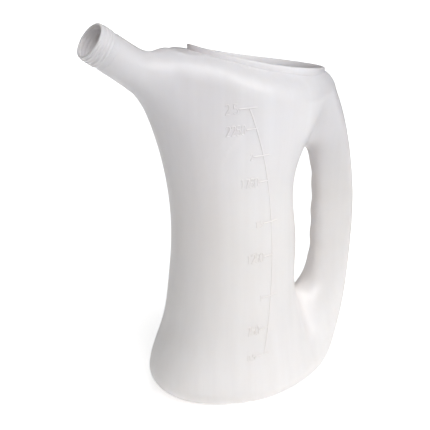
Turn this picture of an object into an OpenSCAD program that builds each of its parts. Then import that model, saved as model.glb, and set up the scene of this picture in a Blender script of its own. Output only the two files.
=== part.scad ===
// Calf feeding bottle: a blow-moulded milk jug with a hollow loop handle at the back, a slanting
// screw spout at the front and a long oval filling opening on top.
// Millimetres. +Z is up, the spout points to -X, the handle is at +X and the jug is the same on
// both sides of Y = 0, apart from the filling scale on the -Y side. The origin is about halfway
// between the spout's mouth and the back of the handle, on the surface that the jug stands on.

/* [Vessel] */
// Height of the top surface above the origin
top_h = 300; // [296:1:304]
// Slope of the top surface, down towards the handle (degrees)
top_slope = 11.5; // [10:0.5:13]
// Wall thickness
wall = 2.4; // [2:0.1:3]
// Radius of the rounded edge at both ends of the top
top_round = 11; // [10:0.5:13]
// How much larger that radius is along the two sides
side_round = 11; // [8:0.5:13]
// Radius of the rounded edge round the middle of the base
base_round = 16.5; // [15:0.5:18]
// Height of the standing ring
foot_h = 2; // [1.5:0.5:3]
// Width of the standing ring
foot_w = 6; // [4:0.5:8]

/* [Handle] */
// Lower end of the finger gap
gap_low = 85; // [82:0.5:90]
// Upper end of the finger gap
gap_high = 204.5; // [200:0.5:210]
// Radius of the fillet between handle and vessel
root_fillet = 14; // [10:1:18]
// Depth of the finger grooves on the inner face of the handle
groove_depth = 1.5; // [0:0.1:2]

/* [Spout] */
// Distance of the spout's mouth in front of the origin
mouth_x = 124.7; // [123:0.1:126]
// Height of the middle of the spout's mouth
mouth_z = 325.2; // [324:0.1:327]
// Upward slant of the spout (degrees)
spout_slant = 35; // [33:0.5:37]
// Outer radius of the spout behind the screw neck
spout_r = 15.1; // [14.9:0.1:15.6]
// Outer radius of the screw neck, under its thread
neck_r = 14.8; // [14.6:0.1:15]
// Inner radius of the screw neck
bore_r = 13; // [12.5:0.1:13.2]
// Length of the screw neck
neck_len = 16; // [15:0.5:17]
// Pitch of the screw thread
pitch = 3; // [2.5:0.1:3.5]
// Height of the thread above the neck
thread_h = 0.7; // [0.5:0.1:0.9]
// Turns of the screw thread
thread_turns = 4; // [3:0.5:4]

/* [Filling opening] */
// Middle of the opening, behind the origin
fill_x = 26; // [24:0.5:27]
// Half of the opening's length, outside the collar
fill_half_l = 65.5; // [64:0.5:67]
// Half of the opening's greatest width, outside the collar
fill_half_w = 33.5; // [32:0.5:35]
// Height of the rim over the origin
rim_h = 301.9; // [301:0.1:303]
// Thickness of the collar
collar_t = 3; // [2.4:0.1:3.2]

/* [Scale] */
// How far the marks stand out from the wall
mark_h = 0.5; // [0.4:0.1:0.8]
// Width of the scale's lines
mark_w = 1.3; // [1:0.1:1.6]
// Height of the large numerals
numeral_h = 8; // [7:0.5:8.5]

/* [Mesh] */
// Spacing of the points on the outside of the moulding
outer_step = 7.5; // [6.5:0.5:9]
// Spacing of the points on the inside of the moulding
inner_step = 10; // [7:0.5:11]

/* [Hidden] */
$fn = 96;

resin = [0.90, 0.89, 0.86];
resin_dark = [0.80, 0.79, 0.76];
eps = 0.01;
tiny = 0.000001;
big = 500;

// Outlines of the horizontal sections, one value every 35 mm of height from the base.
// The curves run smoothly near these values and start and end on the first and last of them.
station_gap = 35;
vessel_front = [-76, -86, -64, -60, -55.5, -55.2, -60, -70, -74, -66];
vessel_back = [99, 78, 62, 57.5, 61.5, 54, 56, 83, 95, 95];
vessel_half = [58.5, 54.5, 51, 48, 46.5, 46.5, 48, 49.5, 50.5, 50];
handle_front = [-10, 40, 79.2, 88.8, 86.5, 88.2, 82.9, 72, 48, 14];
handle_back = [101, 115.5, 121.5, 128.6, 132.7, 130.7, 123, 114, 96.5, 71];
handle_half = [42, 34, 23, 17.5, 16, 16, 17.5, 21, 26, 32];

// The web that closes the finger gap at both ends: half its thickness, how far it reaches into
// the vessel and the handle, its least half length and its fillet
web_half = 12;
web_reach = 20;
web_least = 14;
web_fillet = 16;
// Between its two roots the handle is squarer, a little thinner and narrower towards the fingers
grip_low = 30;
grip_low_run = 70;
grip_high = 255;
grip_high_run = 60;
grip_trim = 2;
grip_square = 0.8;
grip_lean = 0.35;
// Finger grooves; they deepen towards the two sides of the handle
groove_gap = 24;
groove_mid = 150;
groove_count = 4;
groove_centre = 0.25;
groove_side = 11;
// The top surface falls towards its two sides and rises a little at both ends
crown = 4;
crown_half = 38;
crown_start = -40;
crown_run = 60;
back_lift = 1.7;
back_lift_start = 45;
back_lift_run = 45;
front_lift = 1.4;
front_lift_start = -50;
front_lift_run = 9;
front_lift_end = -10;
front_lift_fall = 22;
// Distance from Y = 0 at which the edge of the top starts to grow, and over which it grows
side_start = 12;
side_run = 30;
// The rounded edge round the base grows towards the front
front_round = 0.17;
// Standing ring: its middle and half sizes
foot_x = 14;
foot_half_l = 62;
foot_half_w = 34;
// The rim slopes down to the handle and sags in the middle; the twist adds to the slope at its ends
rim_slope = 0.2217;
rim_sag = 2.3;
rim_twist = 0.6;
rim_mid = 20;
rim_span = 50;
rim_parts = 24;
collar_sunk = 9;
// Blocks that cut the filling opening and the spout: how far they reach past what they cut
opening_depth = 24;
opening_clear = 12;
opening_low = 240;
opening_high = 340;
spout_clear = 60;
// The spout widens towards the vessel
flare_start = 27.5;
flare_per_50 = 5.4;
spout_depth = 112;
spout_fillet = 21.5;
spout_root = 64;
// Heights where one region of the moulding gives way to the next
base_top = 34;
wall_top = 232;
// Side view of the block that holds the handle, cut across its two roots
handle_cut = [[66, 62], [118, 18], [200, 18], [200, 290], [118, 290], [72, 232]];
// Heights of the scale's marks; every second one is a long tick at half a litre
mark_z = [52, 76, 104, 141, 171, 208, 230, 253, 270];
line_x = 10;
line_bow = 15;
line_mid = 140;
sunk = 0.5;
tick_left = 9;
tick_right = 6.5;
// Gap between the numerals and their tick
word_gap = 0.6;
// Height of the numerals at the long ticks, by the height of the large ones
small = 0.7;
// By their height: pace of the numerals and of the point, how much the numerals are narrowed,
// where the last one starts before the end of the word, and the width of their strokes
pace = 0.5;
dot_pace = 0.28;
narrow = 0.72;
last_start = 0.31;
numeral_w = 0.11;
// How far each stroke grows to join the next
join = 0.03;

// ---- curves and blends ----

function clamp(v, low, high) = min(max(v, low), high);

// Height curve through the stations (a uniform cubic spline with straight ends)
function curve(list, z) =
    let (n = len(list),
         u = clamp(z / station_gap, 0, n - 1.001),
         i = floor(u),
         t = u - i,
         before = i == 0 ? 2 * list[0] - list[1] : list[i - 1],
         after = i + 2 < n ? list[i + 2] : 2 * list[i + 1] - list[i])
    (pow(1 - t, 3) * before
     + (3 * pow(t, 3) - 6 * pow(t, 2) + 4) * list[i]
     + (1 + 3 * t + 3 * pow(t, 2) - 3 * pow(t, 3)) * list[i + 1]
     + pow(t, 3) * after) / 6;

// Rises smoothly from 0 to 1
function smooth(t) = let (c = clamp(t, 0, 1)) c * c * (3 - 2 * c);

// Distance from an oval with its ends at front and back and the given half width; a power
// over 2 squares it up and a lean makes it wider towards its back
function oval(x, y, front, back, half, power = 2, lean = 0) =
    let (a = (back - front) / 2,
         t = (x - (front + back) / 2) / a,
         b = half * (1 + lean * t / sqrt(1 + t * t)),
         u = abs(t) + tiny,
         v = abs(y) / b + tiny,
         rho = pow(pow(u, power) + pow(v, power), 1 / power))
    (rho - 1) / norm([pow(u / rho, power - 1) / a, pow(v / rho, power - 1) / b]);

// Union of two distances with a fillet, and intersection with a rounded edge
function fillet(a, b, r) =
    let (h = clamp(0.5 + 0.5 * (b - a) / r, 0, 1))
    b * (1 - h) + a * h - r * h * (1 - h);
function round_edge(a, b, r) =
    min(max(a + r, b + r), 0) + norm([max(a + r, 0), max(b + r, 0)]) - r;

// ---- the moulded surface, as a distance that is 0 on the outside of the wall ----

// All six outlines at one height
function section(z) =
    [curve(vessel_front, z), curve(vessel_back, z), curve(vessel_half, z),
     curve(handle_front, z), curve(handle_back, z), curve(handle_half, z)];

// Dents for four fingers, on the inner face of the handle
function groove(z) =
    let (u = (z - groove_mid) / groove_gap)
    abs(u) < groove_count / 2 ? groove_depth * (1 - cos(360 * u)) / 2 : 0;

function grip_body(x, y, z, s) =
    let (square = smooth((z - grip_low) / grip_low_run) * smooth((grip_high - z) / grip_high_run),
         trim = grip_trim * square,
         dent = groove(z) * (groove_centre + (1 - groove_centre) * smooth(abs(y) / groove_side)))
    oval(x, y, s[3] + trim + dent, s[4] - trim, s[5] - trim, 2 + grip_square * square,
         grip_lean * square);

function vessel_and_handle(x, y, z, s) =
    let (vessel = oval(x, y, s[0], s[1], s[2]),
         grip = grip_body(x, y, z, s),
         mid = (s[1] + s[3]) / 2,
         long = max(web_reach + (s[3] - s[1]) / 2, web_least),
         web = round_edge(oval(x, y, mid - long, mid + long, web_half),
                          min(z - gap_low, gap_high - z) + web_half, web_half))
    fillet(fillet(vessel, grip, root_fillet), web, web_fillet);

function spout_body(x, y, z) =
    let (dx = x + mouth_x,
         dz = z - mouth_z,
         depth = dx * cos(spout_slant) - dz * sin(spout_slant),
         across = dx * sin(spout_slant) + dz * cos(spout_slant),
         r = spout_r + flare_per_50 * pow(clamp(depth - flare_start, 0, 90) / 50, 2))
    max(norm([across, y]) - r, -depth, depth - spout_depth);

// Distance over the top surface
function over_top(x, y, z) =
    let (fall = crown * smooth(abs(y) / crown_half) * smooth((x - crown_start) / crown_run),
         rise = back_lift * smooth((x - back_lift_start) / back_lift_run)
              + front_lift * smooth((x - front_lift_start) / front_lift_run)
                * smooth((front_lift_end - x) / front_lift_fall))
    (z + x * tan(top_slope) + fall - rise - top_h) * cos(top_slope);

function moulding(x, y, z, s) =
    let (edge = top_round + side_round * smooth((abs(y) - side_start) / side_run),
         jug = round_edge(vessel_and_handle(x, y, z, s), over_top(x, y, z), edge))
    round_edge(fillet(jug, spout_body(x, y, z), spout_fillet), foot_h - z,
               base_round + front_round * max(-x, 0));

function moulding_at(p) = moulding(p.x, p.y, p.z, section(p.z));

function slope_at(p) =
    let (d = 0.2)
    [moulding_at(p + [d, 0, 0]) - moulding_at(p - [d, 0, 0]),
     moulding_at(p + [0, d, 0]) - moulding_at(p - [0, d, 0]),
     moulding_at(p + [0, 0, d]) - moulding_at(p - [0, 0, d])] / (2 * d);

// ---- a mesh of the surface that lies a given depth inside the wall ----

// The grid holds the whole jug, with Y = 0 halfway between two of its planes
grid_low = [-150, -10];
grid_span = [300, 70, 356];

function grid_size(step) =
    [ceil(grid_span.x / step), 2 * ceil(grid_span.y / step), ceil(grid_span.z / step)];

function grid_point(i, j, k, step) =
    [grid_low[0] + i * step, (j - ceil(grid_span.y / step) + 0.5) * step,
     grid_low[1] + k * step];

// Distances at the grid's points; the far half in Y mirrors the near half
function grid_values(depth, step) =
    let (size = grid_size(step),
         half_y = size.y / 2,
         sections = [for (k = [0:size.z - 1]) section(grid_point(0, 0, k, step).z)])
    [for (i = [0:size.x - 1])
        let (sheet = [for (j = [0:half_y - 1])
                [for (k = [0:size.z - 1])
                    let (p = grid_point(i, half_y + j, k, step))
                    moulding(p.x, p.y, p.z, sections[k]) + depth]])
        [for (j = [0:size.y - 1]) sheet[j < half_y ? half_y - 1 - j : j - half_y]]];

cell_corners = [for (a = [0, 1], b = [0, 1], c = [0, 1]) [a, b, c]];
cell_edges = [for (m = [0:7], n = [m + 1:7]) if (norm(cell_corners[m] - cell_corners[n]) == 1)
    [m, n]];

function add_up(list) = list * [for (item = list) 1];

// A point on the surface in one cell: the middle of where its edges cross the surface,
// moved onto the surface
function cell_point(origin, v, depth, step) =
    let (hits = [for (e = cell_edges) if ((v[e[0]] < 0) != (v[e[1]] < 0))
            let (t = v[e[0]] / (v[e[0]] - v[e[1]]))
            cell_corners[e[0]] * (1 - t) + cell_corners[e[1]] * t],
         middle = [for (axis = [0:2]) add_up([for (hit = hits) hit[axis]]) / len(hits)],
         p = origin + middle * step,
         slope = slope_at(p))
    p - slope * (moulding_at(p) + depth) / (slope * slope);

// The two triangles of a four-sided face, split along its shorter diagonal
function split_face(face, points) =
    norm(points[face[0]] - points[face[2]]) < norm(points[face[1]] - points[face[3]])
        ? [[face[0], face[1], face[2]], [face[0], face[2], face[3]]]
        : [[face[1], face[2], face[3]], [face[1], face[3], face[0]]];

module surface_solid(depth, step) {
    values = grid_values(depth, step);
    cells = grid_size(step) - [1, 1, 1];
    cell_list = [for (i = [0:cells.x - 1], j = [0:cells.y - 1], k = [0:cells.z - 1])
        [for (c = cell_corners) values[i + c.x][j + c.y][k + c.z]]];
    crossed = [for (v = cell_list) min(v) < 0 && max(v) >= 0];
    number = [for (m = 0, n = 0; m < len(crossed); n = n + (crossed[m] ? 1 : 0), m = m + 1) n];
    points = [for (i = [0:cells.x - 1], j = [0:cells.y - 1], k = [0:cells.z - 1])
        let (m = (i * cells.y + j) * cells.z + k)
        if (crossed[m]) cell_point(grid_point(i, j, k, step), cell_list[m], depth, step)];
    function at(i, j, k) = number[(i * cells.y + j) * cells.z + k];
    faces = [for (i = [1:cells.x - 1], j = [1:cells.y - 1], k = [1:cells.z - 1])
        let (inside = values[i][j][k] < 0)
        for (face = [
            if ((values[i + 1][j][k] < 0) != inside)
                [at(i, j - 1, k - 1), at(i, j, k - 1), at(i, j, k), at(i, j - 1, k)],
            if ((values[i][j + 1][k] < 0) != inside)
                [at(i - 1, j, k - 1), at(i - 1, j, k), at(i, j, k), at(i, j, k - 1)],
            if ((values[i][j][k + 1] < 0) != inside)
                [at(i - 1, j - 1, k), at(i, j - 1, k), at(i, j, k), at(i - 1, j, k)]])
        for (triangle = split_face(face, points))
        inside ? [triangle[2], triangle[1], triangle[0]] : triangle];
    polyhedron(points, faces, convexity = 8);
}

// ---- placing ----

// Puts a shape built along +Z on the spout's axis, with 0 at the mouth and +Z out of it
module on_spout() {
    translate([-mouth_x, 0, mouth_z]) rotate([0, spout_slant - 90, 0]) children();
}

// Height of the filling opening's rim
function rim_line(x) =
    let (u = (x - rim_mid) / rim_span)
    rim_h - rim_slope * x + rim_sag * u * u - rim_twist * u * u * u;

// Outline of the filling opening, drawn inset from the outside of the collar
module fill_outline(inset) {
    a = fill_half_l - inset;
    b = fill_half_w - inset;
    polygon([for (t = [0:4:356]) [fill_x + a * cos(t), b * sin(t)]]);
}

module opening_block() {
    translate([0, 0, opening_low]) linear_extrude(opening_high - opening_low) children();
}

// Block across the jug that lies under the rim's height and over a depth below it
module rim_band(low, high) {
    reach = fill_half_l + 1;
    xs = [for (m = [0:rim_parts]) fill_x - reach + 2 * reach * m / rim_parts];
    rotate([90, 0, 0]) translate([0, 0, -big / 2]) linear_extrude(big)
        polygon(concat([for (x = xs) [x, rim_line(x) + high]],
                       [for (m = [rim_parts:-1:0]) [xs[m], rim_line(xs[m]) + low]]));
}

// Block that holds the spout, down to its root
module spout_zone() {
    on_spout() translate([0, 0, -spout_root]) cylinder(r = spout_clear, h = big);
}

// Block that holds the handle
module handle_zone() {
    translate([0, big / 2, 0]) rotate([90, 0, 0]) linear_extrude(big) polygon(handle_cut);
}

module slab(low, high) {
    translate([-big / 2, -big / 2, low]) cube([big, big, high - low]);
}

// The whole hollow moulding behind the screw neck, open at the filling opening and at the neck
module shell() {
    difference() {
        surface_solid(0, outer_step);
        surface_solid(wall, inner_step);
        intersection() {
            opening_block() fill_outline(collar_t);
            rim_band(-opening_depth, opening_clear);
        }
        on_spout() translate([0, 0, -neck_len]) cylinder(r = spout_clear, h = big);
    }
}

// resize() to the same size joins what is inside into one closed mesh
module one_mesh() {
    resize([0, 0, 0]) children();
}

// ---- the scale on the -Y side ----

function line_at(z) = line_x - line_bow * pow((z - line_mid) / 100, 2);

// Point on the vessel's -Y side, raised by lift
function on_wall(x, z, lift) =
    let (s = section(z),
         a = (s[1] - s[0]) / 2,
         u = (x - (s[0] + s[1]) / 2) / a,
         y = -s[2] * sqrt(1 - u * u),
         out = [u / a, y / (s[2] * s[2])],
         step = lift * out / norm(out))
    [x + step.x, y + step.y, z];

// Raised stroke of width w along a path of [x, z] points on the wall
module stroke(path, w) {
    n = len(path);
    dirs = [for (m = [0:n - 1])
        let (d = path[min(m + 1, n - 1)] - path[max(m - 1, 0)]) d / norm(d)];
    ring = [for (m = [0:n - 1])
        let (side = [-dirs[m].y, dirs[m].x] * w / 2,
             p = path[m] + side,
             q = path[m] - side)
        each [on_wall(p.x, p.y, -sunk), on_wall(q.x, q.y, -sunk),
              on_wall(q.x, q.y, mark_h), on_wall(p.x, p.y, mark_h)]];
    sides = [for (m = [0:n - 2], c = [0:3])
        [4 * m + c, 4 * m + (c + 1) % 4, 4 * m + 4 + (c + 1) % 4, 4 * m + 4 + c]];
    ends = [[3, 2, 1, 0], [4 * n - 4, 4 * n - 3, 4 * n - 2, 4 * n - 1]];
    triangles = [for (face = concat(sides, ends))
        each [[face[2], face[1], face[0]], [face[3], face[2], face[0]]]];
    polyhedron(ring, triangles);
}

function arc(centre, r, from, to) =
    [for (m = [0:5]) let (t = from + (to - from) * m / 5) centre + r * [cos(t), sin(t)]];

// Strokes of one character on a cell 0.5 wide and 1 high, before it is narrowed
function glyph(c) =
    c == "0" ? [concat(arc([0.25, 0.75], 0.25, 180, 0), arc([0.25, 0.25], 0.25, 0, -180),
                       [[0, 0.75]])]
    : c == "1" ? [[[0.06, 0.78], [0.28, 1], [0.28, 0]]]
    : c == "2" ? [concat(arc([0.25, 0.74], 0.26, 170, -30), [[0, 0], [0.5, 0]])]
    : c == "5" ? [concat([[0.47, 1], [0.06, 1], [0.03, 0.57]], arc([0.23, 0.31], 0.3, 115, -150))]
    : c == "7" ? [[[0, 1], [0.5, 1], [0.16, 0]]]
    : [[[0.2, 0], [0.2, 0.13]]];

// Flat stroke of width w along a path
module flat_stroke(path, w) {
    n = len(path);
    sides = [for (m = [0:n - 1])
        let (d = path[min(m + 1, n - 1)] - path[max(m - 1, 0)])
        [-d.y, d.x] / norm(d) * w / 2];
    for (m = [0:n - 2])
        polygon([path[m] + sides[m], path[m + 1] + sides[m + 1],
                 path[m + 1] - sides[m + 1], path[m] - sides[m]]);
}

// Puts a shape built on the XY plane flat on the wall, with +X to the back and +Y up
module at_wall(x, z) {
    p = on_wall(x, z, 0);
    slope = slope_at(p);
    out = slope / norm(slope);
    level = cross([0, 0, 1], out);
    right = level / norm(level);
    up = cross(out, right);
    multmatrix([for (k = [0:2]) [right[k], up[k], out[k], p[k]]]) children();
}

// Characters written from left to right, ending at x and centred on z
module numeral(word, x, z, h) {
    wide = [for (c = word) h * (c == "." ? dot_pace : pace)];
    for (m = [0:len(word) - 1]) {
        rest = add_up([for (n = [m:len(word) - 1]) wide[n]]);
        at_wall(x + last_start * h - rest, z) translate([0, 0, -sunk]) linear_extrude(sunk + mark_h)
            offset(delta = join) for (path = glyph(word[m]))
                flat_stroke([for (p = path) [narrow * (p.x - 0.25), p.y - 0.5] * h],
                            numeral_w * h - 2 * join);
    }
}

// ---- sub-parts ----

module foot() {
    color(resin_dark) translate([foot_x, 0, 0]) linear_extrude(foot_h) difference() {
        foot_outline(0);
        foot_outline(foot_w);
    }
}

module foot_outline(inset) {
    polygon([for (t = [0:4:356])
        [(foot_half_l - inset) * cos(t), (foot_half_w - inset) * sin(t)]]);
}

module base_shell() {
    color(resin) one_mesh() intersection() {
        shell();
        slab(0, base_top);
    }
}

module vessel_wall() {
    color(resin) one_mesh() difference() {
        intersection() {
            shell();
            slab(base_top, wall_top);
        }
        handle_zone();
        spout_zone();
    }
}

module shoulder() {
    color(resin) one_mesh() difference() {
        intersection() {
            shell();
            slab(wall_top, big);
        }
        handle_zone();
        spout_zone();
    }
}

module handle() {
    color(resin) one_mesh() intersection() {
        shell();
        slab(base_top, big);
        handle_zone();
    }
}

module spout() {
    color(resin) one_mesh() intersection() {
        shell();
        spout_zone();
    }
}

module screw_neck() {
    color(resin_dark) on_spout() translate([0, 0, -neck_len]) difference() {
        cylinder(r = neck_r, h = neck_len);
        translate([0, 0, -eps]) cylinder(r = bore_r, h = neck_len + 2 * eps);
    }
}

// A rounded thread that fades in and out
module screw_thread() {
    steps = 36;
    count = thread_turns * steps;
    root = 0.3;
    first_z = 2 - neck_len;
    fade = 14;
    core = neck_r - root;
    ring = [for (m = [0:count])
        let (t = m / count,
             grow = min(1, fade * t, fade * (1 - t)),
             a = 360 * thread_turns * t,
             z = first_z + pitch * thread_turns * t,
             w = pitch * 0.36 * (0.3 + 0.7 * grow),
             h = root + thread_h * grow)
        each [for (p = [[0, -w], [h * 0.8, -w / 2], [h, 0], [h * 0.8, w / 2], [0, w]])
            [(core + p[0]) * cos(a), (core + p[0]) * sin(a), z + p[1]]]];
    side = 5;
    faces = [for (m = [0:count - 1], c = [0:side - 1])
        let (a = side * m + c, b = side * m + (c + 1) % side)
        each [[b, a, a + side], [b, a + side, b + side]]];
    first = [for (c = [1:side - 2]) [0, c, c + 1]];
    last = [for (c = [1:side - 2]) [side * count, side * count + c + 1, side * count + c]];
    color(resin_dark) on_spout() polyhedron(ring, concat(faces, first, last));
}

module fill_collar() {
    color(resin_dark) intersection() {
        opening_block() difference() {
            fill_outline(0);
            fill_outline(collar_t);
        }
        rim_band(-collar_sunk, 0);
    }
}

module scale_line() {
    low = mark_z[0];
    high = mark_z[len(mark_z) - 1];
    color(resin_dark) stroke([for (m = [0:28])
        let (z = low + (high - low) * m / 28) [line_at(z), z]], mark_w);
}

module scale_ticks() {
    color(resin_dark) for (m = [0:len(mark_z) - 1]) {
        long = m % 2 == 0;
        x = line_at(mark_z[m]);
        run = tick_left + (long ? tick_right : 0);
        stroke([for (t = [0:4]) [x - tick_left + run * t / 4, mark_z[m]]], mark_w);
    }
}

module scale_numerals() {
    words = ["0.5", "750", "1", "1250", "1.5", "1750", "2", "2250", "2.5"];
    color(resin_dark) for (m = [0:len(mark_z) - 1])
        numeral(words[m], line_at(mark_z[m]) - tick_left - word_gap, mark_z[m],
                numeral_h * (m % 2 == 0 && m < len(mark_z) - 1 ? small : 1));
}

foot();
base_shell();
vessel_wall();
shoulder();
handle();
spout();
screw_neck();
screw_thread();
fill_collar();
scale_line();
scale_ticks();
scale_numerals();
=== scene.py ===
import math

import bmesh
import bpy
import numpy as np
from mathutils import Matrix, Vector


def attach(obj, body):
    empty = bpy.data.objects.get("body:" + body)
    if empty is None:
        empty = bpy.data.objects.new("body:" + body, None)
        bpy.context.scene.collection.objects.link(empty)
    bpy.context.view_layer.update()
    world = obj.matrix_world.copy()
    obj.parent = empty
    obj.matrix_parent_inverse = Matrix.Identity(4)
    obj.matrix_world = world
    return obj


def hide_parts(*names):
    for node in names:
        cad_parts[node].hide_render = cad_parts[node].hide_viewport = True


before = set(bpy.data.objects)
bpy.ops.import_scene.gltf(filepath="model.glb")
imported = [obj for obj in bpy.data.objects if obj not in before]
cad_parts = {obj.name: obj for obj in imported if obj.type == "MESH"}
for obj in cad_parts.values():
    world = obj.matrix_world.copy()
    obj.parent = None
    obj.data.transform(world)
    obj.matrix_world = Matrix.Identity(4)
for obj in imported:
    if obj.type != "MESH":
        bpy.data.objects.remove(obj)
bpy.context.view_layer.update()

MM = 0.001
ROOT = "root"

# ---- sizes in millimetres, as in part.scad ----

TOP_H = 300.0
TOP_SLOPE = math.radians(11.5)
WALL = 2.4
TOP_ROUND, SIDE_ROUND = 11.0, 11.0
BASE_ROUND, FRONT_ROUND = 16.5, 0.17
FOOT_H = 2.0
FOOT_W = 6.0
FOOT_X, FOOT_L, FOOT_HALF = 14.0, 59.0, 31.0
PUSH_UP, PUSH_UP_RUN = 1.6, 18.0
GAP_LOW, GAP_HIGH = 85.0, 204.5
ROOT_FILLET = 14.0
GROOVE_DEPTH = 1.5
MOUTH = (-124.7, 325.2)
SPOUT_SLANT = math.radians(35.0)
SPOUT_R = 15.1
BORE_R = 13.0
NECK_R = 14.8
NECK_LEN = 16.0
PITCH = 3.0
THREAD_H = 0.7
THREAD_TURNS = 4
# How deep the thread's foot lies in the neck
THREAD_ROOT = 0.3
# The edge of the top grows towards the two sides
SIDE_START, SIDE_RUN = 12.0, 30.0
# The top falls towards its two sides and rises a little at both ends
CROWN, CROWN_HALF, CROWN_START, CROWN_RUN = 4.0, 38.0, -40.0, 60.0
BACK_LIFT, BACK_LIFT_START, BACK_LIFT_RUN = 1.7, 45.0, 45.0
FRONT_LIFT, FRONT_LIFT_START, FRONT_LIFT_RUN = 1.4, -50.0, 9.0
FRONT_LIFT_END, FRONT_LIFT_FALL = -10.0, 22.0
FILL_X = 26.0
FILL_L, FILL_W = 65.5, 33.5
RIM_H, RIM_SLOPE, RIM_SAG, RIM_TWIST = 301.9, 0.2217, 2.3, 0.6
RIM_MID, RIM_SPAN = 20.0, 50.0
COLLAR_T = 3.0

STATION_GAP = 35.0
VESSEL_FRONT = (-76, -86, -64, -60, -55.5, -55.2, -60, -70, -74, -66)
VESSEL_BACK = (99, 78, 62, 57.5, 61.5, 54, 56, 83, 95, 95)
VESSEL_HALF = (58.5, 54.5, 51, 48, 46.5, 46.5, 48, 49.5, 50.5, 50)
HANDLE_FRONT = (-10, 40, 79.2, 88.8, 86.5, 88.2, 82.9, 72, 48, 14)
HANDLE_BACK = (101, 115.5, 121.5, 128.6, 132.7, 130.7, 123, 114, 96.5, 71)
HANDLE_HALF = (42, 34, 23, 17.5, 16, 16, 17.5, 21, 26, 32)
# Between its two roots the handle is squarer, a little thinner and narrower towards the fingers
GRIP_LOW, GRIP_LOW_RUN, GRIP_HIGH, GRIP_HIGH_RUN = 30.0, 70.0, 255.0, 60.0
GRIP_TRIM, GRIP_SQUARE, GRIP_LEAN = 2.0, 0.8, 0.35
WEB_HALF = 12.0
WEB_REACH = 20.0
WEB_LEAST = 14.0
WEB_FILLET = 16.0
GROOVE_GAP, GROOVE_MID, GROOVE_COUNT = 24.0, 150.0, 4
GROOVE_CENTRE, GROOVE_SIDE = 0.25, 11.0
FLARE_START, FLARE_PER_50, FLARE_RUN = 27.5, 5.4, 90.0
SPOUT_DEPTH = 112.0
SPOUT_FILLET = 21.5
SPOUT_END_ROUND = 0.8

MARK_Z = (52, 76, 104, 141, 171, 208, 230, 253, 270)
LINE_X, LINE_BOW, LINE_MID = 10.0, 15.0, 140.0
MARK_W, MARK_H = 1.3, 0.5
TICK_LEFT, TICK_RIGHT, WORD_GAP = 9.0, 6.5, 0.6
# By the height of the large numerals: the small ones; by their own height: stroke width, narrowing,
# pace of a numeral and of the point
NUMERAL_H, SMALL = 8.0, 0.7
NUMERAL_W, NARROW, PACE, DOT_PACE = 0.11, 0.72, 0.5, 0.28
LOW_RELIEF = 0.8
SEAM_HALF, SEAM_RISE = 0.55, 0.22
OUTER_STEP, INNER_STEP = 2.2, 2.8
# The box that holds the whole jug: its low corner in x and z, and its size (half of it in y)
GRID_LOW = (-150, -10)
GRID_SPAN = (300, 70, 356)

# ---- the view and the studio ----

VIEW_AZIMUTH, VIEW_ELEVATION = 33.15, 21.41
VIEW_DISTANCE, VIEW_HEIGHT = 0.7696, 0.150
LENS, SHIFT_X, SHIFT_Y = 73.758, -0.04023, 0.03465
TABLE_GLOW, FLOOR_GLOW, BACKDROP_GLOW = 0.22, 0.54, 1.1
TABLE_RADIUS, BACKDROP_RADIUS = 1.2, 4
TABLE_DROP = 0.0005

# ---- the moulded surface: a distance that is 0 on the outside of the wall ----


def curve(values, z):
    """Height curve through the stations: a uniform cubic spline with straight ends."""
    v = np.array(values, float)
    v = np.concatenate([[2 * v[0] - v[1]], v, [2 * v[-1] - v[-2]]])
    u = np.clip(z / STATION_GAP, 0, len(values) - 1.001)
    i = np.floor(u).astype(int)
    t = u - i
    return (
        (1 - t) ** 3 * v[i]
        + (3 * t**3 - 6 * t**2 + 4) * v[i + 1]
        + (1 + 3 * t + 3 * t**2 - 3 * t**3) * v[i + 2]
        + t**3 * v[i + 3]
    ) / 6


def oval(x, y, front, back, half, power=2.0, lean=0.0):
    """Distance from an oval; a power over 2 squares it up and a lean makes it wider towards its back."""
    a = (back - front) / 2
    t = (x - (front + back) / 2) / a
    b = half * (1 + lean * t / np.sqrt(1 + t * t))
    u = np.abs(t) + 1e-6
    v = np.abs(y) / b + 1e-6
    rho = (u**power + v**power) ** (1 / power)
    steep = np.hypot((u / rho) ** (power - 1) / a, (v / rho) ** (power - 1) / b)
    return (rho - 1) / steep


def fillet(a, b, r):
    h = np.clip(0.5 + 0.5 * (b - a) / r, 0, 1)
    return b * (1 - h) + a * h - r * h * (1 - h)


def round_edge(a, b, r):
    inside = np.minimum(np.maximum(a + r, b + r), 0)
    return inside + np.hypot(np.maximum(a + r, 0), np.maximum(b + r, 0)) - r


def groove(z):
    u = (z - GROOVE_MID) / GROOVE_GAP
    return np.where(np.abs(u) < GROOVE_COUNT / 2, GROOVE_DEPTH * (1 - np.cos(2 * np.pi * u)) / 2, 0)


def underside(x, y):
    """Height of the base: a standing bead pressed down round a slightly raised middle."""
    d = oval(x, y, FOOT_X - FOOT_L, FOOT_X + FOOT_L, FOOT_HALF)
    bead = (1 + np.cos(np.pi * np.clip(np.abs(d) / FOOT_W, 0, 1))) / 2
    return FOOT_H * (1 - bead) + PUSH_UP * smooth(-d / PUSH_UP_RUN)


def smooth(t):
    t = np.clip(t, 0, 1)
    return t * t * (3 - 2 * t)


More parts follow.
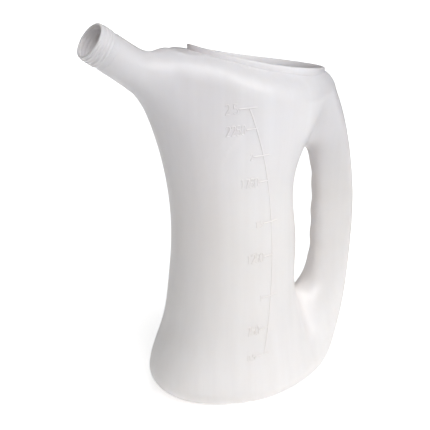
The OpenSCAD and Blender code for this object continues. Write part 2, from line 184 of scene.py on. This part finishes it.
def vessel_and_handle(x, y, z):
    front, back = curve(VESSEL_FRONT, z), curve(VESSEL_BACK, z)
    vessel = oval(x, y, front, back, curve(VESSEL_HALF, z))
    # The finger dents deepen towards the two sides of the handle
    square = smooth((z - GRIP_LOW) / GRIP_LOW_RUN) * smooth((GRIP_HIGH - z) / GRIP_HIGH_RUN)
    dent = groove(z) * (GROOVE_CENTRE + (1 - GROOVE_CENTRE) * smooth(np.abs(y) / GROOVE_SIDE))
    trim = GRIP_TRIM * square
    grip_front = curve(HANDLE_FRONT, z)
    grip_back, grip_half = curve(HANDLE_BACK, z) - trim, curve(HANDLE_HALF, z) - trim
    power, lean = 2 + GRIP_SQUARE * square, GRIP_LEAN * square
    grip = oval(x, y, grip_front + trim + dent, grip_back, grip_half, power, lean)
    # The web closes the finger gap at both ends
    ends = np.minimum(z - GAP_LOW, GAP_HIGH - z) + WEB_HALF
    mid, long = (back + grip_front) / 2, np.maximum(WEB_REACH + (grip_front - back) / 2, WEB_LEAST)
    web = round_edge(oval(x, y, mid - long, mid + long, WEB_HALF), ends, WEB_HALF)
    return fillet(fillet(vessel, grip, ROOT_FILLET), web, WEB_FILLET)


def over_top(x, y, z):
    """Distance over the top surface."""
    fall = CROWN * smooth(np.abs(y) / CROWN_HALF) * smooth((x - CROWN_START) / CROWN_RUN)
    rise = BACK_LIFT * smooth((x - BACK_LIFT_START) / BACK_LIFT_RUN)
    front_end = smooth((x - FRONT_LIFT_START) / FRONT_LIFT_RUN)
    rise = rise + FRONT_LIFT * front_end * smooth((FRONT_LIFT_END - x) / FRONT_LIFT_FALL)
    return (z + x * math.tan(TOP_SLOPE) + fall - rise - TOP_H) * math.cos(TOP_SLOPE)


def spout_body(x, y, z):
    dx, dz = x - MOUTH[0], z - MOUTH[1]
    depth = dx * math.cos(SPOUT_SLANT) - dz * math.sin(SPOUT_SLANT)
    across = dx * math.sin(SPOUT_SLANT) + dz * math.cos(SPOUT_SLANT)
    r = SPOUT_R + FLARE_PER_50 * (np.clip(depth - FLARE_START, 0, FLARE_RUN) / 50) ** 2
    spout = round_edge(np.hypot(across, y) - r, NECK_LEN - depth, SPOUT_END_ROUND)
    return np.maximum(spout, depth - SPOUT_DEPTH)


def moulding(p):
    x, y, z = p[..., 0], p[..., 1], p[..., 2]
    edge = TOP_ROUND + SIDE_ROUND * smooth((np.abs(y) - SIDE_START) / SIDE_RUN)
    jug = round_edge(vessel_and_handle(x, y, z), over_top(x, y, z), edge)
    jug = fillet(jug, spout_body(x, y, z), SPOUT_FILLET)
    return round_edge(jug, underside(x, y) - z, BASE_ROUND + FRONT_ROUND * np.maximum(-x, 0))


def slope(p):
    d = 0.05
    out = np.empty_like(p)
    for axis in range(3):
        e = np.zeros(3)
        e[axis] = d
        out[..., axis] = (moulding(p + e) - moulding(p - e)) / (2 * d)
    return out


def onto(p, depth, rounds=3):
    """Moves points onto the surface that lies depth inside the wall."""
    for _ in range(rounds):
        g = slope(p)
        p = p - g * ((moulding(p) + depth) / np.maximum((g * g).sum(-1), 0.05))[..., None]
    return p


# ---- a four-sided mesh of the surface ----


def net(depth, step):
    """Quads over the closed surface that lies depth inside the wall."""
    n = [math.ceil(span / step) for span in GRID_SPAN]
    xs = GRID_LOW[0] + step * np.arange(n[0])
    ys = (np.arange(n[1]) + 0.5) * step
    zs = GRID_LOW[1] + step * np.arange(n[2])
    half = moulding(np.stack(np.meshgrid(xs, ys, zs, indexing="ij"), -1)) + depth
    f = np.concatenate([half[:, ::-1], half], 1)
    ys = np.concatenate([-ys[::-1], ys])
    inside = f < 0
    cells = np.array(f.shape) - 1
    total, hits = np.zeros((*cells, 3)), np.zeros(cells)
    for axis in range(3):
        for a in (0, 1):
            for b in (0, 1):
                low = [a, b]
                low.insert(axis, 0)
                high = list(low)
                high[axis] = 1
                f0, f1 = (
                    f[tuple(slice(c, c + m) for c, m in zip(corner, cells))] for corner in (low, high)
                )
                cut = (f0 < 0) != (f1 < 0)
                t = np.where(cut, f0 / np.where(cut, f0 - f1, 1), 0)
                hits += cut
                for k in range(3):
                    total[..., k] += np.where(cut, t if k == axis else low[k], 0)
    used = hits > 0
    number = np.full(cells, -1)
    number[used] = np.arange(used.sum())
    i, j, k = np.nonzero(used)
    origin = np.stack([xs[i], ys[j], zs[k]], 1)
    points = origin + total[used] / hits[used][:, None] * step
    quads = []
    for axis in range(3):
        o1, o2 = (axis + 1) % 3, (axis + 2) % 3
        first = [slice(1, -1)] * 3
        second = [slice(1, -1)] * 3
        second[axis] = slice(2, None)
        here, there = inside[tuple(first)], inside[tuple(second)]
        at = np.argwhere(here != there) + 1
        ring = []
        for a, b in ((-1, -1), (0, -1), (0, 0), (-1, 0)):
            c = at.copy()
            c[:, o1] += a
            c[:, o2] += b
            ring.append(number[tuple(c.T)])
        quad = np.stack(ring, 1)
        flip = ~inside[tuple(at.T)]
        quad[flip] = quad[flip][:, ::-1]
        quads.append(quad)
    quads = np.concatenate(quads)
    return relax(onto(points, depth), quads, depth), quads


def relax(points, quads, depth, rounds=6):
    """Evens the mesh out along the surface."""
    a = quads.ravel()
    b = np.roll(quads, -1, 1).ravel()
    ends, others = np.concatenate([a, b]), np.concatenate([b, a])
    count = np.bincount(ends, minlength=len(points))[:, None]
    for _ in range(rounds):
        total = np.stack([np.bincount(ends, points[others, k], len(points)) for k in range(3)], 1)
        points = onto(points + 0.7 * (total / count - points), depth, 1)
    return onto(points, depth, 2)


# ---- meshes ----


def new_mesh(name, points, faces):
    mesh = bpy.data.meshes.new(name)
    faces = faces if isinstance(faces, list) else faces.tolist()
    mesh.from_pydata((np.asarray(points) * MM).tolist(), [], faces)
    mesh.validate()
    mesh.update()
    piece = bpy.data.objects.new(name, mesh)
    bpy.context.collection.objects.link(piece)
    return piece


def combine(target, other, operation):
    """Applies one boolean to target and removes the other object."""
    m = target.modifiers.new("combine", "BOOLEAN")
    m.operation = operation
    m.solver = "MANIFOLD"
    m.object = other
    done = bpy.data.meshes.new_from_object(target.evaluated_get(bpy.context.evaluated_depsgraph_get()))
    target.modifiers.clear()
    old = target.data
    target.data = done
    bpy.data.meshes.remove(old)
    bpy.data.objects.remove(other)


def tube(rings, closed_ends=True):
    """Faces and points of stacked rings with the same number of points each."""
    n, m = len(rings), len(rings[0])
    points = np.concatenate(rings)
    faces = [
        [r * m + c, r * m + (c + 1) % m, (r + 1) * m + (c + 1) % m, (r + 1) * m + c]
        for r in range(n - 1)
        for c in range(m)
    ]
    if closed_ends:
        faces += [list(range(m))[::-1], [(n - 1) * m + c for c in range(m)]]
    return points, faces


def rim_line(x):
    """Height of the filling opening's rim, highest at the spout and sagging in the middle."""
    u = (x - RIM_MID) / RIM_SPAN
    return RIM_H - RIM_SLOPE * x + RIM_SAG * u**2 - RIM_TWIST * u**3


def rim_ring(inset, lift, count=240):
    """Ring round the filling opening, inset from its outside and lifted from the rim's height."""
    t = np.linspace(0, 2 * np.pi, count, endpoint=False)
    x = FILL_X + (FILL_L - inset) * np.cos(t)
    return np.stack([x, (FILL_W - inset) * np.sin(t), rim_line(x) + lift], 1)


def rim_solid(name, rings):
    """Solid between rings, closed by strips across the jug, so that its ends follow the rim."""
    points, faces = tube([rim_ring(a, b) for a, b in rings], closed_ends=False)
    n = len(rim_ring(0, 0))
    for first, turn in ((0, False), ((len(rings) - 1) * n, True)):
        for k in range(n // 2):
            strip = (k, k + 1, (n - k - 1) % n, (n - k) % n)
            face = [first + c for c in dict.fromkeys(strip)]
            faces.append(face if turn else face[::-1])
    return new_mesh(name, points, faces)


def spout_ring(r, depth, count=96):
    t = np.linspace(0, 2 * np.pi, count, endpoint=False)
    c, s = math.cos(SPOUT_SLANT), math.sin(SPOUT_SLANT)
    across, side = r * np.cos(t), r * np.sin(t)
    return np.stack([MOUTH[0] + depth * c + across * s, side, MOUTH[1] - depth * s + across * c], 1)


def add_seam(piece):
    """Raises the thin line where the two halves of the mould met."""
    half, rise = SEAM_HALF * MM, SEAM_RISE * MM
    bm = bmesh.new()
    bm.from_mesh(piece.data)
    for y in (-half, half):
        geom = bm.verts[:] + bm.edges[:] + bm.faces[:]
        bmesh.ops.bisect_plane(bm, geom=geom, dist=1e-6, plane_co=(0, y, 0), plane_no=(0, 1, 0))
    bm.verts.ensure_lookup_table()
    p = np.array([v.co for v in bm.verts])
    line = np.abs(p[:, 1]) < 1e-5
    out = slope(p[line] / MM)
    out /= np.linalg.norm(out, axis=1)[:, None]
    for v, n in zip([v for v, use in zip(bm.verts, line) if use], out):
        v.co += Vector(n * rise)
    bm.to_mesh(piece.data)
    bm.free()


def true_normals(piece):
    """Shades the skin by the moulded surface itself; the cut edges stay crisp."""
    mesh = piece.data
    mesh.shade_smooth()
    mesh.set_sharp_from_angle(angle=math.radians(38))
    n = len(mesh.loops)
    corner = np.empty(n * 3, np.float32)
    mesh.corner_normals.foreach_get("vector", corner)
    corner = corner.reshape(-1, 3).astype(float)
    at = np.empty(n, np.int32)
    mesh.loops.foreach_get("vertex_index", at)
    p = np.empty(len(mesh.vertices) * 3, np.float32)
    mesh.vertices.foreach_get("co", p)
    p = p.reshape(-1, 3).astype(float) / MM
    f, g = moulding(p), slope(p)
    size = np.linalg.norm(g, axis=1)
    side = np.where(np.abs(f) < 0.04, 1.0, np.where(np.abs(f + WALL) < 0.04, -1.0, 0.0))
    g = g * (side / np.maximum(size, 1e-6))[:, None]
    use = (g[at] * corner).sum(1) > 0.93
    corner[use] = g[at][use]
    mesh.normals_split_custom_set(corner.tolist())


def moulding_piece():
    outer = new_mesh("moulding", *net(0.0, OUTER_STEP))
    add_seam(outer)
    inner = new_mesh("inside", *net(WALL, INNER_STEP))
    lip = [(0, -13), (0, -0.9), (0.25, -0.25), (0.9, 0)]
    combine(outer, rim_solid("collar", lip), "UNION")
    neck = [(0, NECK_LEN + 3), (0, 1.2), (0.15, 0.5), (0.5, 0.12), (0.8, 0)]
    rings = [spout_ring(NECK_R - inset, d) for inset, d in neck]
    combine(outer, new_mesh("neck", *tube(rings)), "UNION")
    combine(outer, thread(), "UNION")
    combine(outer, inner, "DIFFERENCE")
    mouth = [(0, -24), (0, -0.9), (0.25, -0.25), (0.9, 0), (0.9, 9)]
    opening = rim_solid("opening", [(COLLAR_T - inset, lift) for inset, lift in mouth])
    combine(outer, opening, "DIFFERENCE")
    # The inside of the neck follows the thread a little
    bore = [(0, NECK_LEN + 4)]
    for depth in np.arange(NECK_LEN - 0.5, 1.2, -0.25):
        bore.append((0.12 * (1 - math.cos(2 * math.pi * depth / PITCH)), depth))
    bore += [(0, 0.7), (0.15, 0.2), (0.45, 0), (0.45, -9)]
    rings = [spout_ring(BORE_R + wider, d) for wider, d in bore]
    combine(outer, new_mesh("bore", *tube(rings)), "DIFFERENCE")
    true_normals(outer)
    return outer


# ---- the screw thread and the filling scale ----


def thread():
    count = 72 * THREAD_TURNS
    rings = []
    for m in range(count + 1):
        t = m / count
        grow = smooth(np.array(min(14 * t, 14 * (1 - t)))).item()
        a = 2 * math.pi * THREAD_TURNS * t
        depth = NECK_LEN - 2.0 - PITCH * THREAD_TURNS * t
        w = PITCH * 0.38 * (0.3 + 0.7 * grow)
        h = THREAD_ROOT + THREAD_H * grow
        # half of the rounded profile, from its foot to just before its crest, by height and width
        half = [(0, 1), (0.45, 0.72), (0.85, 0.42)]
        profile = [(r, -d) for r, d in half] + [(1, 0)] + half[::-1]
        core = NECK_R - THREAD_ROOT
        rings.append(np.array([spout_point(core + r * h, a, depth + d * w) for r, d in profile]))
    return new_mesh("thread", *tube(rings))


def spout_point(r, a, depth):
    c, s = math.cos(SPOUT_SLANT), math.sin(SPOUT_SLANT)
    across = r * math.cos(a)
    return (MOUTH[0] + depth * c + across * s, r * math.sin(a), MOUTH[1] - depth * s + across * c)


def on_wall(x, z, lift):
    """Points over the -Y side of the vessel, lifted from the true surface."""
    front, back, half = curve(VESSEL_FRONT, z), curve(VESSEL_BACK, z), curve(VESSEL_HALF, z)
    u = (x - (front + back) / 2) / ((back - front) / 2)
    p = onto(np.stack([x, -half * np.sqrt(1 - u * u), z], -1), 0.0)
    n = slope(p)
    return p + n * (lift / np.linalg.norm(n, axis=-1))[..., None]


def stroke(path, w, h):
    """Rounded raised stroke of width w and height h along a path of (x, z) points."""
    path = np.array(path, float)
    gaps = np.linalg.norm(np.diff(path, axis=0), axis=1)
    run = np.concatenate([[0], np.cumsum(gaps)])
    n = max(4, int(run[-1] / 0.6))
    # the ends close in rounded steps
    end = np.array([0, 0.06 * w, 0.2 * w])
    steps = np.concatenate([end, np.linspace(0.5 * w, run[-1] - 0.5 * w, n), run[-1] - end[::-1]])
    if run[-1] <= w:
        steps = np.linspace(0, run[-1], 7)
    mid = np.stack([np.interp(steps, run, path[:, k]) for k in (0, 1)], 1)
    ahead = np.gradient(mid, axis=0)
    ahead /= np.linalg.norm(ahead, axis=1)[:, None] + 1e-9
    side = np.stack([-ahead[:, 1], ahead[:, 0]], 1)
    edge = np.clip(np.minimum(steps, run[-1] - steps) / (0.5 * w), 0, 1)
    grow = (np.sqrt(1 - (1 - edge) ** 2) * 0.9 + 0.1)[:, None]
    # half of the profile, by width and height; its foot is sunk half a millimetre into the wall
    half = [(-0.5, -0.5 / h), (-0.46, 0.25), (-0.34, 0.72), (-0.15, 0.96)]
    profile = np.array(half + [(-a, b) for a, b in half[::-1]])
    across = profile[None, :, 0] * w * grow
    height = profile[None, :, 1] * h
    lift = np.where(height > 0, height * grow, height)
    x = mid[:, 0, None] + side[:, 0, None] * across
    z = mid[:, 1, None] + side[:, 1, None] * across
    return list(on_wall(x, z, lift))


def line_at(z):
    return LINE_X - LINE_BOW * ((z - LINE_MID) / 100) ** 2


def arc(cx, cz, r, start, end):
    t = np.radians(np.linspace(start, end, 13))
    return [(cx + r * math.cos(a), cz + r * math.sin(a)) for a in t]


def glyph(c):
    """Strokes of one character on a cell 0.5 wide and 1 high, before it is narrowed."""
    q = 0.25
    return {
        "0": [arc(q, 0.75, q, 180, 0) + arc(q, q, q, 0, -180) + [(0, 0.75)]],
        "1": [[(0.06, 0.78), (0.28, 1), (0.28, 0)]],
        "2": [arc(q, 0.74, 0.26, 170, -30) + [(0, 0), (0.5, 0)]],
        "5": [[(0.47, 1), (0.06, 1), (0.03, 0.57)] + arc(q - 0.02, 0.31, 0.3, 115, -150)],
        "7": [[(0, 1), (0.5, 1), (0.16, 0)]],
        ".": [[(0.2, 0), (0.2, 0.13)]],
    }[c]


def numerals():
    words = ("0.5", "750", "1", "1250", "1.5", "1750", "2", "2250", "2.5")
    strokes = []
    for m, (word, z) in enumerate(zip(words, MARK_Z)):
        h = NUMERAL_H * (SMALL if m % 2 == 0 and m < len(MARK_Z) - 1 else 1)
        # characters end at the left end of the tick
        widths = [DOT_PACE if c == "." else PACE for c in word]
        at = line_at(z) - TICK_LEFT - WORD_GAP - h * (sum(widths) - 0.12)
        for c, wide in zip(word, widths):
            for path in glyph(c):
                points = [(at + h * (NARROW * (a - 0.25) + 0.19), z - h / 2 + h * b) for a, b in path]
                strokes.append(stroke(points, NUMERAL_W * h, MARK_H * LOW_RELIEF))
            at += h * wide
    return strokes


def marks(name, strokes):
    points, faces = [], []
    total = 0
    for rings in strokes:
        p, f = tube(rings)
        points.append(p)
        faces += [[k + total for k in face] for face in f]
        total += len(p)
    piece = new_mesh(name, np.concatenate(points), faces)
    piece.data.shade_smooth()
    return piece


def scale_pieces():
    heights = np.linspace(MARK_Z[0], MARK_Z[-1], 60)
    ticks = []
    for m, z in enumerate(MARK_Z):
        x = line_at(z)
        end = x + TICK_RIGHT if m % 2 == 0 else x - 0.4
        ticks.append(stroke([(x - TICK_LEFT, z), (end, z)], MARK_W, MARK_H))
    return (
        marks("line", [stroke([(line_at(z), z) for z in heights], MARK_W, MARK_H * LOW_RELIEF)]),
        marks("ticks", ticks),
        marks("numerals", numerals()),
    )


# ---- the natural resin ----

# Painted shade: how pale the upper wall is painted, from the spout (0) to the handle (1), tuned; the
# lower wall is even, with the painted shade LOW_PAINTED_SHADE
LOW_PAINTED_SHADE = (0.925, 0.925, 0.925, 1)
PAINTED_SHADE = (
    (0.12, (0.87, 0.87, 0.87, 1)),
    (0.28, (0.915, 0.905, 0.90, 1)),
    (0.45, (0.985, 0.985, 0.98, 1)),
    (0.55, (1, 1, 1, 1)),
    (0.74, (1, 1, 1, 1)),
    (0.92, (0.83, 0.835, 0.84, 1)),
)


def resin(name, depth):
    """depth is the share of light that spreads inside the wall."""
    m = bpy.data.materials.new(name)
    m.use_nodes = True
    tree = m.node_tree
    shader = tree.nodes["Principled BSDF"]
    shader.inputs["Subsurface Weight"].default_value = depth
    shader.inputs["Subsurface Radius"].default_value = (1.0, 0.9, 0.8)
    shader.inputs["Subsurface Scale"].default_value = 0.009
    shader.inputs["IOR"].default_value = 1.5

    def node(kind, **values):
        n = tree.nodes.new(kind)
        for key, value in values.items():
            if key in n.inputs:
                n.inputs[key].default_value = value
            else:
                setattr(n, key, value)
        return n

    def join(a, out, b, into):
        tree.links.new(a.outputs[out], b.inputs[into])

    place = node("ShaderNodeTexCoord")

    def noise(stretch, scale, detail, rough=0.5):
        to = node("ShaderNodeMapping")
        to.inputs["Scale"].default_value = stretch
        n = node("ShaderNodeTexNoise", Scale=scale, Detail=detail, Roughness=rough)
        join(place, "Object", to, "Vector")
        join(to, "Vector", n, "Vector")
        return n

    def ramp(source, stops):
        r = node("ShaderNodeValToRGB")
        join(source, "Fac" if "Fac" in source.outputs else 0, r, "Fac")
        r.color_ramp.elements[0].position, r.color_ramp.elements[0].color = stops[0]
        r.color_ramp.elements[1].position, r.color_ramp.elements[1].color = stops[-1]
        for position, color in stops[1:-1]:
            r.color_ramp.elements.new(position).color = color
        return r

    # colour: soft clouding of the resin and faint streaks drawn down the wall
    dull, pale_resin = (0.90, 0.863, 0.868, 1), (0.945, 0.911, 0.926, 1)
    cloud = ramp(noise((1, 1, 0.7), 14, 3), [(0.3, dull), (0.7, pale_resin)])
    drawn, plain = (0.970, 0.966, 0.964, 1), (1, 1, 1, 1)
    streak = ramp(noise((1, 1, 0.03), 95, 4, 0.6), [(0.35, drawn), (0.65, plain)])

    def mix(kind, a, b):
        m = node("ShaderNodeMix", data_type="RGBA", blend_type=kind)
        m.inputs[0].default_value = 1.0
        if a is not None:
            tree.links.new(a, m.inputs[6])
        tree.links.new(b, m.inputs[7])
        return m

    tint = mix("MULTIPLY", cloud.outputs["Color"], streak.outputs["Color"])

    # painted shade: high up the wall is painted palest in the middle and duller on the spout and the
    # handle; low down it is even
    where = node("ShaderNodeSeparateXYZ")
    join(place, "Object", where, "Vector")

    def part_way(axis, start, end):
        r = node("ShaderNodeMapRange")
        r.inputs["From Min"].default_value = start
        r.inputs["From Max"].default_value = end
        join(where, axis, r, "Value")
        return r

    # along and even carry the painted shade into the base colour
    along = ramp(part_way("X", -0.1, 0.1), PAINTED_SHADE)
    along.color_ramp.interpolation = "EASE"
    even = mix("MIX", None, along.outputs["Color"])
    even.inputs[6].default_value = LOW_PAINTED_SHADE
    tree.links.new(part_way("Z", 0.07, 0.17).outputs["Result"], even.inputs[0])
    # painted tint: warmer low down, and cooler near the top as a painted cool sheen
    warm, cool = (1, 0.985, 0.95, 1), (0.985, 0.99, 1, 1)
    painted_tint = ramp(part_way("Z", 0.0, 0.34), [(0.5, warm), (0.75, cool)])
    shaded = mix("MULTIPLY", tint.outputs[2], even.outputs[2])
    colour = mix("MULTIPLY", shaded.outputs[2], painted_tint.outputs["Color"])
    tree.links.new(colour.outputs[2], shader.inputs["Base Color"])

    # gloss: satin, with duller scuffs
    scuff = noise((1, 1, 1), 30, 3)
    rough = node("ShaderNodeMapRange")
    rough.inputs["From Min"].default_value = 0.3
    rough.inputs["From Max"].default_value = 0.7
    rough.inputs["To Min"].default_value = 0.28
    rough.inputs["To Max"].default_value = 0.36
    join(scuff, "Fac", rough, "Value")
    join(rough, "Result", shader, "Roughness")

    # skin: fine mould texture over shallow drawn streaks and slow waviness
    grain = noise((1, 1, 1), 1400, 2)
    draw = noise((1, 1, 0.04), 160, 3)
    wave = noise((1, 1, 0.6), 28, 2)
    last = None
    bumps = ((wave, 0.22, 0.0009), (draw, 0.10, 0.0002), (grain, 0.15, 0.0001))
    for source, strength, distance in bumps:
        bump = node("ShaderNodeBump")
        bump.inputs["Strength"].default_value = strength
        bump.inputs["Distance"].default_value = distance
        join(source, "Fac", bump, "Height")
        if last is not None:
            join(last, "Normal", bump, "Normal")
        last = bump
    join(last, "Normal", shader, "Normal")
    return m


def keep(piece, material, slot, *nodes):
    piece.data.materials.clear()
    piece.data.materials.append(material)
    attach(piece, ROOT)
    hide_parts(*nodes)


# Both resins carry the painted shade and the painted tint of resin()
RESIN, MARK_RESIN = resin("natural_resin", 0.55), resin("natural_resin_marks", 0.0)
keep(
    moulding_piece(), RESIN, "moulding",
    "foot", "base_shell", "vessel_wall", "shoulder", "handle",
    "spout", "screw_neck", "screw_thread", "fill_collar",
)
line, ticks, words = scale_pieces()
keep(line, MARK_RESIN, "raised_marks", "scale_line")
keep(ticks, MARK_RESIN, "raised_marks", "scale_ticks")
keep(words, MARK_RESIN, "raised_marks", "scale_numerals")


def toward(azimuth, elevation):
    """Unit vector from the jug, with azimuth 0 at -Y and turning towards -X; both in degrees."""
    a, e = math.radians(azimuth), math.radians(elevation)
    return Vector((-math.sin(a) * math.cos(e), -math.cos(a) * math.cos(e), math.sin(e)))


def camera():
    back = toward(VIEW_AZIMUTH, VIEW_ELEVATION)
    data = bpy.data.cameras.new("camera")
    data.sensor_width = 36
    data.lens = LENS
    data.shift_x = SHIFT_X
    data.shift_y = SHIFT_Y
    cam = bpy.data.objects.new("camera", data)
    bpy.context.collection.objects.link(cam)
    cam.location = Vector((0, 0, VIEW_HEIGHT)) + back * VIEW_DISTANCE
    cam.rotation_euler = (-back).to_track_quat("-Z", "Y").to_euler()
    bpy.context.scene.camera = cam


def pale(name, glow):
    """Matte white that glows a little, so that it stays pale."""
    m = bpy.data.materials.new(name)
    m.use_nodes = True
    shader = m.node_tree.nodes["Principled BSDF"]
    shader.inputs["Base Color"].default_value = (0.95, 0.95, 0.95, 1)
    shader.inputs["Roughness"].default_value = 0.9
    shader.inputs["Specular IOR Level"].default_value = 0.1
    shader.inputs["Emission Color"].default_value = (1, 1, 1, 1)
    shader.inputs["Emission Strength"].default_value = glow
    return m


def staged(name, glow, make, radius, **size):
    """A piece of the studio, with its own pale material."""
    bm = bmesh.new()
    make(bm, radius=radius, **size)
    mesh = bpy.data.meshes.new(name)
    bm.to_mesh(mesh)
    bm.free()
    mesh.materials.append(pale(name, glow))
    o = bpy.data.objects.new(name, mesh)
    bpy.context.collection.objects.link(o)
    return o


def studio():
    """A round pale table and, only for the camera, its whiter top and a white backdrop."""
    disc = bmesh.ops.create_circle
    table = staged("table", TABLE_GLOW, disc, TABLE_RADIUS, cap_ends=True, segments=96)
    table.location.z = -TABLE_DROP
    table.visible_camera = False
    top = staged("floor", FLOOR_GLOW, disc, TABLE_RADIUS, cap_ends=True, segments=96)
    dome = bmesh.ops.create_icosphere
    backdrop = staged("backdrop", BACKDROP_GLOW, dome, BACKDROP_RADIUS, subdivisions=4)
    for o in (top, backdrop):
        o.visible_diffuse = False
        o.visible_glossy = False
        o.visible_transmission = False
        o.visible_shadow = False


def soft_light(name, azimuth, elevation, strength):
    """Distant soft light; azimuth 0 comes from over the camera, 90 from its right."""
    aim = toward(VIEW_AZIMUTH - azimuth, elevation)
    lamp = bpy.data.lights.new(name, "SUN")
    lamp.energy = strength
    lamp.angle = math.radians(35)
    o = bpy.data.objects.new(name, lamp)
    o.rotation_euler = (-aim).to_track_quat("-Z", "Y").to_euler()
    bpy.context.collection.objects.link(o)


def lights():
    world = bpy.data.worlds.new("studio")
    bpy.context.scene.world = world
    world.use_nodes = True
    world.node_tree.nodes["Background"].inputs[0].default_value = (1, 1, 1, 1)
    world.node_tree.nodes["Background"].inputs[1].default_value = 0.01
    soft_light("key", 65, 40, 0.98)
    soft_light("overhead", 30, 62, 0.62)
    soft_light("front", 10, 45, 1.28)
    soft_light("low_right", 68, 12, 0.36)
    soft_light("back_right", 160, 45, 0.20)
    soft_light("back_left", -130, 40, 0.35)


camera()
studio()
lights()
bpy.context.scene.view_settings.view_transform = "Standard"
